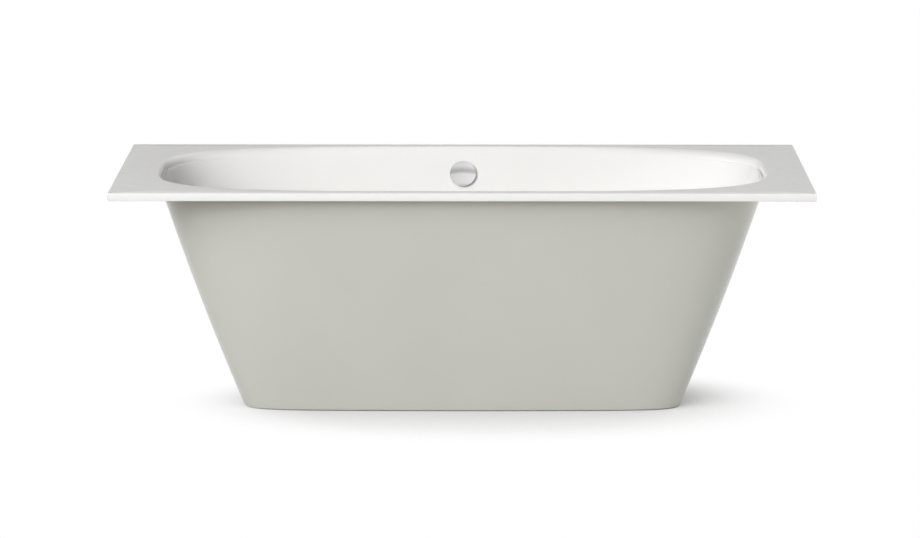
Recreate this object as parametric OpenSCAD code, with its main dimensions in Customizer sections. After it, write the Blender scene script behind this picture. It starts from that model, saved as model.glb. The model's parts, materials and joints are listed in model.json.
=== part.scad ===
// Built-in bath with a thin flat rim, an oval basin, a tapered outer skirt
// and a turn-knob waste and overflow set. Millimetres, Z up.
// The origin is on the floor, under the middle of the rim.

/* [Rim] */
// Length of the rim, left to right
rim_l = 1800; // [1700:5:1900]
// Width of the rim, front to back
rim_w = 800; // [760:5:860]
// Height of the rim top above the floor
rim_h = 595; // [590:1:640]
// Height of the rim's visible edge
rim_edge = 20; // [17:0.5:24]
// Chamfer on the rim's outer edges
rim_chamfer = 1; // [0.5:0.1:2]

/* [Basin] */
// Flat strip of rim at each end of the basin opening
strip_end = 100; // [95:1:130]
// Flat strip of rim in front of and behind the opening
strip_side = 36; // [34:1:50]
// Squareness of the opening, 2 is an ellipse
opening_n = 3.7; // [3:0.1:4.2]
// Squareness of the basin floor
floor_n = 3.2; // [2.6:0.1:3.7]
// How far the rolled lip comes in
lip_in = 14; // [10:0.5:16]
// How far the rolled lip goes down
lip_deep = 20; // [16:0.5:24]
// Height of the basin floor's edge above the ground, the room for waste and trap
floor_up = 150; // [149:1:170]
// Fall of the basin floor towards the waste
floor_fall = 4; // [2:0.5:6]
// Backrest angle of the end walls, from upright
end_lean = 26; // [25:0.5:32]
// How far each long wall comes in between lip and floor
side_draw = 108.5; // [104:0.5:125]
// Share of that which is a straight slope, the rest flares out near the lip
side_straight = 0.576; // [0.5:0.01:0.7]
// Radius between the walls and the floor
cove_r = 85; // [70:1:100]
// Wall thickness of the bath shell
shell_t = 5; // [4:0.1:5.5]
// Thickness of the reinforced floor at the waste
floor_t = 7; // [6.5:0.5:9]

/* [Outer skirt] */
// Overhang of the rim past the skirt top, at the ends
over_end = 101; // [98:0.5:103]
// Overhang of the rim past the skirt top, front and back
over_side = 33; // [30:0.5:36]
// How far the skirt tapers in at each end
taper_end = 224; // [205:1:240]
// How far the skirt tapers in at the front and the back
taper_side = 95; // [85:1:105]
// Part of the end taper that is a flare near the rim
end_flare = 10; // [8:0.5:14]
// Squareness of the skirt outline at the rim
skirt_top_n = 4.4; // [4.2:0.1:6]
// Squareness of the skirt outline at the floor
skirt_foot_n = 10; // [7:0.5:14]
// Bulge of the skirt's slope, 0 is straight
skirt_bulge = 0.12; // [0.05:0.01:0.18]
// Bow of the long sides at the floor, 0 is straight
skirt_bow = 0.04; // [0:0.005:0.06]
// Thickness of the skirt
skirt_t = 4; // [3:0.1:4.5]
// Gap between the skirt and the floor
skirt_gap = 3; // [2:0.5:6]
// Radius of the skirt's bottom edge
skirt_edge_r = 15; // [10:0.5:18]
// Width of the flat return flange inside the bottom edge
flange_w = 24; // [20:0.5:30]
// How far the skirt top is tucked up behind the rim boards
skirt_tuck = 8; // [4:0.5:9]

/* [Base board and legs] */
// Thickness of the base board
board_t = 16; // [14:0.5:18]
// Length of the base board
board_l = 920; // [880:5:960]
// Distance from the base board's long edges out to the skirt's foot
board_in = 127; // [115:1:135]
// Radius of the cut-out for the waste in the base board
board_hole_r = 95; // [88:0.5:110]
// Distance of each leg rail from the end of the base board
rail_end = 120; // [90:1:150]
// Distance from a leg rail's ends out to the skirt's foot
rail_in = 44; // [42:1:54]
// Width of a leg rail
rail_w = 40; // [34:1:50]
// Height of a leg rail
rail_h = 25; // [22:0.5:30]
// Sheet thickness of the rails and brackets
sheet_t = 2; // [1.5:0.1:2.5]
// Distance of the feet from the ends of the rail
foot_in = 35; // [32:1:50]
// Diameter of the foot bolt
bolt_d = 10; // [8:0.5:12]
// Diameter of the foot pad
pad_d = 50; // [40:1:60]
// Height of the foot pad
pad_h = 14; // [12:0.5:18]
// How far a foot can be wound down
foot_travel = 20; // [10:1:20]

/* [Overflow] */
// Depth of the overflow centre below the rim top
overflow_drop = 70; // [68:1:76]
// Diameter of the overflow hole in the shell
overflow_hole_d = 52; // [50:0.5:54]
// Height of the flat pad in the wall round the overflow
overflow_pad = 76; // [74:1:80]
// Diameter of the turn knob
knob_d = 71; // [68:0.5:76]
// How far the knob stands out from the wall
knob_out = 15.5; // [14:0.5:18]
// Gap behind the knob where water enters
knob_gap = 3.5; // [3:0.5:5]
// Wall of the knob cap
knob_t = 2.5; // [2:0.1:3]
// Diameter of the spindle
spindle_d = 8; // [6:0.5:9]
// Depth of the overflow housing behind the flange
housing_deep = 10.5; // [10:0.5:11]
// Outer diameter of the overflow pipe
pipe_d = 25; // [22:0.5:26]
// Wall of the overflow pipe
pipe_t = 2.5; // [2:0.1:3]
// Bend radius of the overflow bend
pipe_bend_r = 60; // [50:1:62]
// Diameter of the operating cable
cable_d = 5; // [4:0.1:5.5]

/* [Waste] */
// Diameter of the waste flange
waste_d = 70; // [68:0.5:74]
// Diameter of the plug cap
plug_d = 66; // [64:0.5:67]
// How far the plug lifts
plug_travel = 10; // [8:0.5:10.5]
// Diameter of the plug stem
stem_d = 6; // [5:0.5:6.5]
// Length of the lifting arm
lifter_arm = 20; // [18.5:0.1:21]
// Outer diameter of the drain pipe
drain_d = 40; // [38:0.5:40]
// Wall of the drain pipe
drain_t = 2.5; // [2:0.1:3]
// Radius of the outlet bend
outlet_bend_r = 30; // [26:0.5:34]
// Free length of the drain pipe's end
outlet_tail = 20; // [15:0.5:20]

/* [Hidden] */

$fn = 48;

// Clearances: seats and loose fits, running fits, and faceted shells that lie near each other
fit = 0.3;
run = 0.05;
lap = 0.01;

// Points round each outline, a multiple of 8, denser at the corners
ring_n = 72;
corner_bias = 0.6;

// Levels
under_z = rim_h - rim_edge;
skin_z = rim_h - shell_t;
lip_z = rim_h - lip_deep;
floor_z = floor_up;
drain_z = floor_z - floor_fall;
base_z = drain_z - floor_t;
board_z = base_z - board_t;
rail_z = board_z - rail_h;
overflow_z = rim_h - overflow_drop;
band_low = overflow_z - overflow_pad / 2;
band_high = overflow_z + overflow_pad / 2;

// Half sizes of the opening, at the rim top and where the lip ends
open_a = rim_l / 2 - strip_end;
open_b = rim_w / 2 - strip_side;
lip_a = open_a - lip_in;
lip_b = open_b - lip_in;
wall_h = lip_z - floor_z;

// Half length, half width and squareness of the basin wall at a height, before the cove is cut
function wall_part(z) = (z - floor_z) / wall_h;
function wall_a(z) = lip_a - tan(end_lean) * (lip_z - z);
function wall_b(z) = lip_b - side_draw
    + side_draw * (side_straight * wall_part(z) + (1 - side_straight) * pow(wall_part(z), 4));
function wall_n(z) = floor_n + (opening_n - floor_n) * max(0, wall_part(z));
function in_pad(z) = abs(z - overflow_z) < overflow_pad / 2 + lap;
function b_slope(z) = in_pad(z) ? tan(wall_lean)
    : side_draw / wall_h * (side_straight + 4 * (1 - side_straight) * pow(max(0, wall_part(z)), 3));

// Horizontal thickness of a sloped wall of a given thickness
function across(t, slope) = t * sqrt(1 + slope * slope);

// Heights of the wall rings: even steps up to the flat pad of the overflow, then its far edge
wall_steps = 4;
wall_levels = [for (i = [0:wall_steps]) floor_z + cove_r + (band_low - floor_z - cove_r) * i / wall_steps,
    band_high];
cove_steps = 5;
lip_steps = 4;

// The overflow pad is a flat chord of the back wall
wall_lean = atan((wall_b(band_high) - wall_b(band_low)) / overflow_pad);
overflow_y = (wall_b(band_high) + wall_b(band_low)) / 2;

// Half sizes of the skirt at a height
skirt_top_a = rim_l / 2 - over_end;
skirt_top_b = rim_w / 2 - over_side;
flare_from = 0.8;
function skirt_part(z) = min(1, (z - skirt_gap) / (under_z - skirt_gap));
function skirt_rise(z) = skirt_part(z) + skirt_bulge * skirt_part(z) * (1 - skirt_part(z));
function skirt_flare(z) = end_flare * pow(max(0, skirt_part(z) - flare_from) / (1 - flare_from), 2);
function skirt_a(z) = skirt_top_a - taper_end + (taper_end - end_flare) * skirt_rise(z) + skirt_flare(z);
function skirt_b(z) = skirt_top_b - taper_side + taper_side * skirt_rise(z);
function skirt_n(z) = 1 / (1 / skirt_foot_n + (1 / skirt_top_n - 1 / skirt_foot_n) * skirt_rise(z));
function skirt_bow_at(z) = skirt_bow * (1 - skirt_part(z));
skirt_steps = 7;

// Base board and rails stay a set distance inside the skirt's foot
foot_b = skirt_top_b - taper_side;
board_w = 2 * (foot_b - board_in);
rail_x = board_l / 2 - rail_end;
rail_l = 2 * (foot_b - rail_in);

// Outlines: a squared oval and a rectangle with matching points
function turn_at(i) = let (u = 360 * i / ring_n) u + 180 / PI * corner_bias / 4 * sin(4 * u);
function oval_reach(t, n) = pow(pow(abs(cos(t)), n) + pow(abs(sin(t)), n), -1 / n);
function oval(a, b, n, z, bow = 0) = [for (i = [0:ring_n - 1])
    let (t = turn_at(i), r = oval_reach(t, n), x = a * r * cos(t))
    [x, b * r * sin(t) * (1 - bow * pow(x / a, 2)), z]];
function rectangle(a, b, z) = [for (i = [0:ring_n - 1])
    let (t = turn_at(i), r = 1 / max(abs(cos(t)), abs(sin(t)))) [a * r * cos(t), b * r * sin(t), z]];
function flat_points(ring) = [for (p = ring) [p[0], p[1]]];

// A solid through a list of rings. Closed, the last ring joins the first, otherwise both ends are capped.
module loft(rings, closed = false) {
    m = len(rings);
    n = len(rings[0]);
    bands = closed ? m : m - 1;
    points = [for (ring = rings) for (p = ring) p];
    sides = [for (j = [0:bands - 1]) for (i = [0:n - 1])
        let (k = (j + 1) % m, q = (i + 1) % n)
        each [[j * n + i, k * n + i, k * n + q], [j * n + i, k * n + q, j * n + q]]];
    caps = closed ? [] : [[for (i = [0:n - 1]) i], [for (i = [n - 1:-1:0]) (m - 1) * n + i]];
    polyhedron(points, concat(caps, sides));
}

// Wall of the shell at a height, moved outwards by a thickness
function wall_ring(z, t) = oval(wall_a(z) + across(t, tan(end_lean)),
    wall_b(z) + across(t, b_slope(z)), wall_n(z), z);
// Cove between wall and floor, from a wall height down to the flat floor
function cove_ring(turn, t) =
    let (r = cove_r + t, z = floor_z + cove_r - r * cos(turn), in = r * (1 - sin(turn)))
    oval(wall_a(z) + across(t, tan(end_lean)) - in, wall_b(z) + across(t, b_slope(z)) - in, wall_n(z), z);
// Rolled lip, on the visible or the hidden side
function lip_ring(turn, t) = oval(lip_a + lip_in - (lip_in - t) * cos(turn),
    lip_b + lip_in - (lip_in - t) * cos(turn), opening_n, lip_z + (lip_deep - t) * sin(turn));

drain_r = 45;
function shell_rings() = concat(
    [oval(drain_r, drain_r, 2, drain_z)],
    [for (i = [0:cove_steps - 1]) cove_ring(90 * i / cove_steps, 0)],
    [for (z = wall_levels) wall_ring(z, 0)],
    [for (i = [0:lip_steps]) lip_ring(90 * i / lip_steps, 0)],
    [rectangle(rim_l / 2 - rim_chamfer, rim_w / 2 - rim_chamfer, rim_h),
    rectangle(rim_l / 2, rim_w / 2, rim_h - rim_chamfer),
    rectangle(rim_l / 2, rim_w / 2, under_z + rim_chamfer),
    rectangle(rim_l / 2 - rim_chamfer, rim_w / 2 - rim_chamfer, under_z),
    rectangle(rim_l / 2 - shell_t, rim_w / 2 - shell_t, under_z),
    rectangle(rim_l / 2 - shell_t, rim_w / 2 - shell_t, skin_z)],
    [for (i = [lip_steps:-1:0]) lip_ring(90 * i / lip_steps, shell_t)],
    [for (i = [len(wall_levels) - 1:-1:0]) wall_ring(wall_levels[i], shell_t)],
    [for (i = [cove_steps - 1:-1:1]) cove_ring(90 * i / cove_steps, shell_t)],
    [base_ring()]);
// Flat underside of the floor, a little inside the last ring of the cove
function base_ring() = let (c = cove_ring(90 / cove_steps, shell_t)) [for (p = c) [0.93 * p[0], 0.93 * p[1], base_z]];

// Waste levels, from the drain down
flange_t = 3;
seal_top_t = 1.5;
seal_low_t = 2.5;
recess_z = drain_z - flange_t - seal_top_t;
waste_hole_r = 26;
spigot_r = 25.4;
spigot_in_r = 22.6;
seat_r = 30;
seat_deep = 1.3;
body_top_z = base_z - seal_low_t;
body_flange_t = 4;
body_flange_r = 42;
body_r = 33;
body_in_r = 29;
spigot_end_z = base_z - 14.5;
lifter_z = base_z - 21;
lifter_x = lifter_arm;
lifter_tip_r = 3;
lifter_swing = asin(plug_travel / 2 / lifter_arm);
lifter_drop = 16;
wire_z = lifter_z - lifter_drop;
stem_r = stem_d / 2;
stem_end_z = lifter_z - plug_travel / 2 + lifter_tip_r + fit;
guide_z = lifter_z + plug_travel / 2 + lifter_tip_r + 1.5;
guide_top_z = base_z - 1;
port_z = base_z - 31;
port_r = pipe_d / 2;
collar_top_z = base_z - 48;
collar_t = 4;
collar_r = 46;
nut_lip_t = 3;
nut_h = 14.5;
nut_r = 52.5;
nut_in_r = 49.4;
pipe_nut_h = 18;
trap_seal_t = 2;
cup_top_z = collar_top_z - collar_t - trap_seal_t;
cup_bottom_z = 8;
cup_r = 46;
cup_t = 2.5;
cup_mouth_r = 49;
drain_r_out = drain_d / 2;
drain_r_in = drain_r_out - drain_t;
outlet_z = outlet_bend_r + outlet_tail + 6;
dip_r = 20;
dip_end_z = cup_bottom_z + cup_t + 10;
stub_end = cup_r + 18;
outlet_x = stub_end + 20;

// Overflow, in a frame on the wall: x to the right, y up the wall, z into the basin
gasket_t = 2.45;
body_front = -shell_t - gasket_t - run;
flange_back = body_front - 3;
housing_back = flange_back - housing_deep;
housing_r = 24.5;
housing_t = 2.5;
gasket_r = 36;
screw_y = 20.5;
duct_low = -38;

// The spool winds up as much wire in a quarter turn as the lifter takes for its full swing
knob_turn = 90;
wire_travel = 2 * lifter_drop * sin(lifter_swing);
spool_r = wire_travel * 180 / PI / knob_turn;
spool_t = 4;
spool_z = housing_back + housing_t + 1.2;
wire_level = spool_z + spool_t / 2;

// The wire leaves the spool along a tangent, downwards and to the left
wire_turn = 25;
boss_from = 16;
sheath_from = 24;
boss_to = 34;
function wire_at(s) = [-spool_r * cos(wire_turn) - s * sin(wire_turn),
    spool_r * sin(wire_turn) - s * cos(wire_turn), wire_level];
module along_wire(s) {
    translate(wire_at(s)) rotate([0, 0, -wire_turn]) rotate([90, 0, 0]) children();
}
module at_overflow() {
    translate([0, overflow_y, overflow_z]) rotate([90 - wall_lean, 0, 0]) children();
}
function from_overflow(p) = [p[0], overflow_y + p[1] * sin(wall_lean) - p[2] * cos(wall_lean),
    overflow_z + p[1] * cos(wall_lean) + p[2] * sin(wall_lean)];

// The pipe runs midway between basin and skirt, on a line through two heights of that gap
function gap_mid(z) = (wall_b(z) + across(shell_t, b_slope(z)) + skirt_b(z) - skirt_t) / 2;
pipe_low = floor_z + cove_r + 5;
pipe_high = overflow_z - 75;
pipe_lean = atan((gap_mid(pipe_high) - gap_mid(pipe_low)) / (pipe_high - pipe_low));
function pipe_y(z) = gap_mid(pipe_low) + (z - pipe_low) * tan(pipe_lean);
pipe_start = nut_r + 2.5 + pipe_nut_h / 2;
pipe_turn_z = port_z + pipe_bend_r * (1 - sin(pipe_lean));
pipe_turn_y = pipe_y(pipe_turn_z) - pipe_bend_r * cos(pipe_lean);
pipe_end_z = overflow_z - 73;

// The cable runs beside the pipe, then under the base board to the left of the waste
cable_side = -(pipe_d / 2 + 5.2);
cable_stop = -body_r - 6;
cable_high = pipe_end_z - 48;
cable_low = port_z + 44;
function cable_z(share) = cable_high + share * (cable_low - cable_high);
cable_in_y = 42;
function cable_y(share) = cable_in_y + share * (pipe_turn_y - cable_in_y);
clip_levels = [cable_z(0.35), cable_z(0.15)];
cable_way = [
    from_overflow(wire_at(sheath_from - 12)),
    from_overflow(wire_at(sheath_from)),
    from_overflow(wire_at(boss_to)),
    from_overflow(wire_at(boss_to + 10)),
    [cable_side - 12, pipe_y(pipe_end_z + 10) + 1, pipe_end_z + 10],
    [cable_side - 9, pipe_y(pipe_end_z - 16), pipe_end_z - 16],
    [cable_side, pipe_y(cable_high), cable_high],
    [cable_side, pipe_y(cable_z(0.1)), cable_z(0.1)],
    [cable_side, pipe_y(cable_z(0.38)), cable_z(0.38)],
    [cable_side, pipe_y(cable_z(0.48)), cable_z(0.48)],
    [cable_side - 8, pipe_y(cable_z(0.74)), cable_z(0.74)],
    [cable_side - 24, pipe_turn_y + 0.75 * pipe_bend_r, cable_low],
    [cable_side - 44, pipe_turn_y, port_z + 6],
    [cable_side - 66, cable_y(0.63), wire_z],
    [cable_side - 78, cable_y(0.29), wire_z],
    [cable_side - 72, cable_in_y, wire_z],
    [cable_stop - 38, 12, wire_z],
    [cable_stop - 20, 0, wire_z],
    [cable_stop - 9, 0, wire_z],
    [cable_stop, 0, wire_z],
    [cable_stop + 10, 0, wire_z]];
cable_steps = 4;
cable_sides = 8;
function spline(p, i, t) = let (a = p[i - 1], b = p[i], c = p[i + 1], d = p[i + 2])
    0.5 * (2 * b + (c - a) * t + (2 * a - 5 * b + 4 * c - d) * t * t + (3 * b - a - 3 * c + d) * t * t * t);
cable_points = concat([for (i = [1:len(cable_way) - 3]) for (j = [0:cable_steps - 1])
    spline(cable_way, i, j / cable_steps)], [cable_way[len(cable_way) - 2]]);

// A round tube along points, each ring square to the way on
module tube_along(p, r, sides) {
    m = len(p);
    rings = [for (i = [0:m - 1])
        let (way = p[min(i + 1, m - 1)] - p[max(i - 1, 0)],
            side = cross(way, [1, 1, 1]), u = side / norm(side),
            v = cross(way, u) / norm(way))
        [for (k = [0:sides - 1]) let (w = 360 * k / sides) p[i] + r * (cos(w) * u + sin(w) * v)]];
    loft(rings);
}

// A plate with rounded corners, centred
module plate(l, w, r, t) {
    linear_extrude(t) {
        square([l - 2 * r, w], center = true);
        square([l, w - 2 * r], center = true);
        for (x = [-1, 1], y = [-1, 1])
            translate([x * (l / 2 - r), y * (w / 2 - r)]) circle(r);
    }
}

// A ring between two radii
module ring(r_out, r_in, h) {
    difference() {
        cylinder(r = r_out, h = h);
        translate([0, 0, -1]) cylinder(r = r_in, h = h + 2);
    }
}

// A union nut: a ring with a lip at the top and grip ribs
module grip_nut(r_out, r_in, h, lip_r, lip_t, ribs) {
    difference() {
        union() {
            cylinder(r = r_out, h = h);
            for (i = [0:ribs - 1])
                rotate([0, 0, 360 * i / ribs]) translate([r_out - 0.6, 0, h * 0.1])
                    cylinder(r = 1.6, h = h * 0.8, $fn = 16);
        }
        translate([0, 0, -1]) cylinder(r = r_in, h = h - lip_t + 1);
        translate([0, 0, -1]) cylinder(r = lip_r, h = h + 2);
    }
}

// A screw with a domed head below z = 0 and its shaft upwards
module screw_up(r, l, head_r, head_h) {
    cylinder(r = r, h = l);
    translate([0, 0, -head_h]) cylinder(r1 = head_r * 0.7, r2 = head_r, h = head_h);
}

// Bath shell

module bath_shell() {
    color([0.95, 0.95, 0.94])
    difference() {
        loft(shell_rings());
        translate([0, 0, recess_z]) cylinder(r = waste_d / 2 + fit, h = drain_z);
        translate([0, 0, base_z - 1]) cylinder(r = waste_hole_r, h = drain_z);
        at_overflow() translate([0, 0, -20]) cylinder(d = overflow_hole_d, h = 40);
    }
}

// Outer skirt

function skirt_ring(z, in) = oval(skirt_a(z) - in, skirt_b(z) - in, skirt_n(z), z, skirt_bow_at(z));
function skirt_flat(z, in) = [for (p = skirt_ring(skirt_gap, in)) [p[0], p[1], z]];
function skirt_wall_z(i) = skirt_gap + skirt_edge_r + (under_z - skirt_gap - skirt_edge_r) * i / skirt_steps;
function skirt_edge(turn, t) = let (r = skirt_edge_r - t)
    skirt_ring(skirt_gap + skirt_edge_r - r * cos(turn), skirt_edge_r - r * sin(turn));
function skirt_side(t) = across(t, taper_side / (under_z - skirt_gap));
edge_steps = 3;
function skirt_rings() = concat(
    [skirt_flat(skirt_gap, skirt_edge_r + flange_w)],
    [for (i = [0:edge_steps]) skirt_edge(90 * i / (edge_steps + 1), 0)],
    [for (i = [0:skirt_steps]) skirt_ring(skirt_wall_z(i), 0)],
    [skirt_ring(under_z + skirt_tuck, 0)],
    [skirt_ring(under_z + skirt_tuck, skirt_t)],
    [for (i = [skirt_steps:-1:0]) skirt_ring(skirt_wall_z(i), skirt_side(skirt_t))],
    [for (i = [edge_steps:-1:0]) skirt_edge(90 * i / (edge_steps + 1), skirt_t)],
    [skirt_flat(skirt_gap + skirt_t, skirt_edge_r + flange_w)]);

module outer_skirt() {
    color([0.62, 0.63, 0.59])
    difference() {
        loft(skirt_rings(), closed = true);
        for (x = [-1, 1], y = [-1, 1])
            translate([x * rail_x, y * bracket_screw_y, 0]) cylinder(r = small_screw_r + 0.1, h = 2 * skirt_gap + skirt_t);
    }
}

// Rim boards, in the hollow under the rim

board_split = 300;
board_gap = 1.3;
module rim_board_shape() {
    difference() {
        square([rim_l - 2 * (shell_t + fit), rim_w - 2 * (shell_t + fit)], center = true);
        polygon(flat_points(oval(skirt_top_a + board_gap, skirt_top_b + board_gap, skirt_top_n, 0)));
    }
}
module rim_board_long(side) {
    color([0.72, 0.56, 0.38])
    translate([0, 0, under_z]) linear_extrude(rim_edge - shell_t)
        intersection() {
            rim_board_shape();
            translate([0, side * (board_split + rim_w) / 2]) square([rim_l, rim_w - board_split], center = true);
        }
}
module rim_board_short(side) {
    color([0.74, 0.58, 0.4])
    translate([0, 0, under_z]) linear_extrude(rim_edge - shell_t)
        intersection() {
            rim_board_shape();
            translate([side * rim_l / 2, 0]) square([rim_l, 2 * (board_split - fit)], center = true);
        }
}
module rim_board_front() { rim_board_long(-1); }
module rim_board_back() { rim_board_long(1); }
module rim_board_left() { rim_board_short(-1); }
module rim_board_right() { rim_board_short(1); }

// Base board, leg rails and their screws

small_screw_r = 2.2;
rail_screw_y = board_w / 2 - 35;
rail_screw_l = 14;
module base_board() {
    color([0.7, 0.55, 0.38])
    difference() {
        translate([0, 0, board_z]) plate(board_l, board_w, 25, board_t);
        translate([0, 0, board_z - 1]) cylinder(r = board_hole_r, h = board_t + 2);
        for (x = [-1, 1], y = [-1, 1], s = [-1, 1])
            translate([x * rail_x + s * rail_w / 4, y * rail_screw_y, board_z - 1])
                cylinder(r = small_screw_r + run, h = rail_screw_l);
    }
}

foot_y = rail_l / 2 - foot_in;
bolt_r = bolt_d / 2;
weld_nut_h = 8;
module leg_rail(side) {
    color([0.66, 0.68, 0.7])
    translate([side * rail_x, 0, rail_z])
    difference() {
        union() {
            difference() {
                translate([-rail_w / 2, -rail_l / 2, 0]) cube([rail_w, rail_l, rail_h]);
                translate([-rail_w / 2 + sheet_t, -rail_l / 2 - 1, -1])
                    cube([rail_w - 2 * sheet_t, rail_l + 2, rail_h - sheet_t + 1]);
            }
            for (y = [-1, 1])
                translate([0, y * foot_y, rail_h - sheet_t - weld_nut_h])
                    cylinder(r = bolt_d * 0.95, h = weld_nut_h + lap, $fn = 6);
        }
        for (y = [-1, 1])
            translate([0, y * foot_y, 0]) cylinder(r = bolt_r + run, h = rail_h + 1);
        for (y = [-1, 1], s = [-1, 1])
            translate([s * rail_w / 4, y * rail_screw_y, 0]) cylinder(r = small_screw_r + run, h = rail_h + 1);
        for (y = [-1, 1])
            translate([0, y * tab_screw_y, 0]) cylinder(r = small_screw_r + run, h = rail_h + 1);
    }
}
module leg_rail_left() { leg_rail(-1); }
module leg_rail_right() { leg_rail(1); }

module rail_screws() {
    color([0.6, 0.6, 0.62])
    for (x = [-1, 1], y = [-1, 1], s = [-1, 1])
        translate([x * rail_x + s * rail_w / 4, y * rail_screw_y, board_z - sheet_t])
            screw_up(small_screw_r, rail_screw_l, 4.5, 2.5);
}

lock_nut_h = 5;
module lock_nuts() {
    color([0.62, 0.63, 0.65])
    for (x = [-1, 1], y = [-1, 1])
        translate([x * rail_x, y * foot_y, board_z])
            difference() {
                cylinder(r = bolt_d * 0.95, h = lock_nut_h, $fn = 6);
                translate([0, 0, -1]) cylinder(r = bolt_r + run, h = lock_nut_h + 2);
            }
}

// Levelling feet

bolt_seat_z = 5;
bolt_top_z = board_z + lock_nut_h + foot_travel - 3;
module foot_bolt(sx, sy) {
    color([0.7, 0.71, 0.73])
    translate([sx * rail_x, sy * foot_y, 0]) {
        translate([0, 0, bolt_seat_z]) cylinder(r = bolt_r, h = bolt_top_z - bolt_seat_z - 1);
        translate([0, 0, bolt_top_z - 1]) cylinder(r1 = bolt_r, r2 = bolt_r - 1, h = 1);
        translate([0, 0, pad_h + fit]) cylinder(r = bolt_d * 0.85, h = 6, $fn = 6);
    }
}
module foot_pad(sx, sy) {
    color([0.16, 0.16, 0.17])
    translate([sx * rail_x, sy * foot_y, 0])
    rotate_extrude()
        polygon([[0, 0], [pad_d / 2 - 1, 0], [pad_d / 2, 1], [pad_d / 2, 5], [pad_d / 2 - 4, 7],
            [bolt_r + 5, pad_h - 2], [bolt_r + 4, pad_h], [bolt_r + 0.2, pad_h], [bolt_r + 0.2, bolt_seat_z],
            [0, bolt_seat_z]]);
}
module foot_bolt_front_left() { foot_bolt(-1, -1); }
module foot_bolt_front_right() { foot_bolt(1, -1); }
module foot_bolt_back_left() { foot_bolt(-1, 1); }
module foot_bolt_back_right() { foot_bolt(1, 1); }
module foot_pad_front_left() { foot_pad(-1, -1); }
module foot_pad_front_right() { foot_pad(1, -1); }
module foot_pad_back_left() { foot_pad(-1, 1); }
module foot_pad_back_right() { foot_pad(1, 1); }

// Brackets between the rail ends and the skirt's return flange

bracket_w = 30;
tab_l = 20;
flange_z = skirt_gap + skirt_t;
flange_mid_y = foot_b - skirt_edge_r - flange_w / 2;
bracket_screw_y = flange_mid_y + 2;
tab_screw_y = rail_l / 2 - tab_l / 2;
module skirt_bracket(sx, sy) {
    translate([sx * rail_x, 0, 0]) mirror([0, sy > 0 ? 0 : 1, 0])
    difference() {
        union() {
            translate([-bracket_w / 2, rail_l / 2 - tab_l, board_z]) cube([bracket_w, tab_l + sheet_t, sheet_t]);
            translate([-bracket_w / 2, rail_l / 2, flange_z]) cube([bracket_w, sheet_t, board_z + sheet_t - flange_z]);
            translate([-bracket_w / 2, rail_l / 2, flange_z])
                cube([bracket_w, flange_mid_y + flange_w / 2 - rail_l / 2 - 6, sheet_t]);
        }
        translate([0, bracket_screw_y, 0]) cylinder(r = small_screw_r + run, h = flange_z + 10);
        translate([0, tab_screw_y, rail_z]) cylinder(r = small_screw_r + run, h = 2 * rail_h);
    }
}
module skirt_brackets() {
    color([0.68, 0.7, 0.72])
    for (x = [-1, 1], y = [-1, 1]) skirt_bracket(x, y);
}
module bracket_screws() {
    color([0.6, 0.6, 0.62])
    for (x = [-1, 1], y = [-1, 1]) {
        translate([x * rail_x, y * bracket_screw_y, flange_z + sheet_t]) mirror([0, 0, 1])
            screw_up(small_screw_r, sheet_t + skirt_t - 0.5, 4.2, 2.2);
        translate([x * rail_x, y * tab_screw_y, board_z - sheet_t]) screw_up(small_screw_r, 2 * sheet_t + 4, 4.2, 2.2);
    }
}

// Overflow: turn knob, spindle, faceplate, gasket and body

knob_r = knob_d / 2;
dome_from = 10;
dome_r = (knob_r * knob_r + pow(knob_out - dome_from, 2)) / 2 / (knob_out - dome_from);
spindle_r = spindle_d / 2;
module knob_solid(r, low, side, top) {
    intersection() {
        translate([0, 0, low]) cylinder(r = r, h = top - low);
        translate([0, 0, top - (r * r + pow(top - side, 2)) / 2 / (top - side)])
            sphere(r = (r * r + pow(top - side, 2)) / 2 / (top - side), $fn = 96);
    }
}
module overflow_knob() {
    color([0.8, 0.81, 0.82])
    at_overflow()
    difference() {
        union() {
            difference() {
                knob_solid(knob_r, knob_gap, dome_from, knob_out);
                knob_solid(knob_r - knob_t, knob_gap - 1, dome_from - 2, knob_out - knob_t);
            }
            translate([0, 0, knob_gap]) cylinder(r = spindle_r + 3, h = knob_out - knob_gap - knob_t / 2);
        }
        translate([0, 0, 0]) cylinder(r = spindle_r + run, h = spindle_top + run);
    }
}

spindle_top = knob_out - 4;
module knob_spindle() {
    color([0.78, 0.68, 0.42])
    at_overflow()
    difference() {
        union() {
            translate([0, 0, spool_z]) cylinder(r = spool_r, h = spool_t);
            translate([0, 0, spool_z]) cylinder(r = spool_r + 3, h = 1.2);
            translate([0, 0, spool_z + spool_t - 1.2]) cylinder(r = spool_r + 3, h = 1.2);
            translate([0, 0, spool_z]) cylinder(r = spindle_r, h = spindle_top - spool_z);
        }
        rotate([0, 0, 100]) translate([spool_r, 0, spool_z - 1]) cylinder(r = 1.3, h = spool_t + 2, $fn = 16);
    }
}

face_t = 2.4;
face_r = 31;
face_in_r = 15;
module overflow_faceplate() {
    color([0.3, 0.31, 0.32])
    at_overflow()
    difference() {
        translate([0, 0, run]) ring(face_r, face_in_r, face_t);
        for (y = [-1, 1]) translate([0, y * screw_y, -1]) cylinder(r = small_screw_r + run, h = face_t + 2);
    }
}

module overflow_screws() {
    color([0.7, 0.7, 0.72])
    at_overflow()
    for (y = [-1, 1])
        translate([0, y * screw_y, run + face_t]) mirror([0, 0, 1])
            screw_up(small_screw_r, face_t - flange_back + 2, 3.6, 1.8);
}

module overflow_gasket() {
    color([0.12, 0.12, 0.13])
    at_overflow() translate([0, 0, body_front]) ring(gasket_r, overflow_hole_d / 2 + 1, gasket_t);
}

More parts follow.
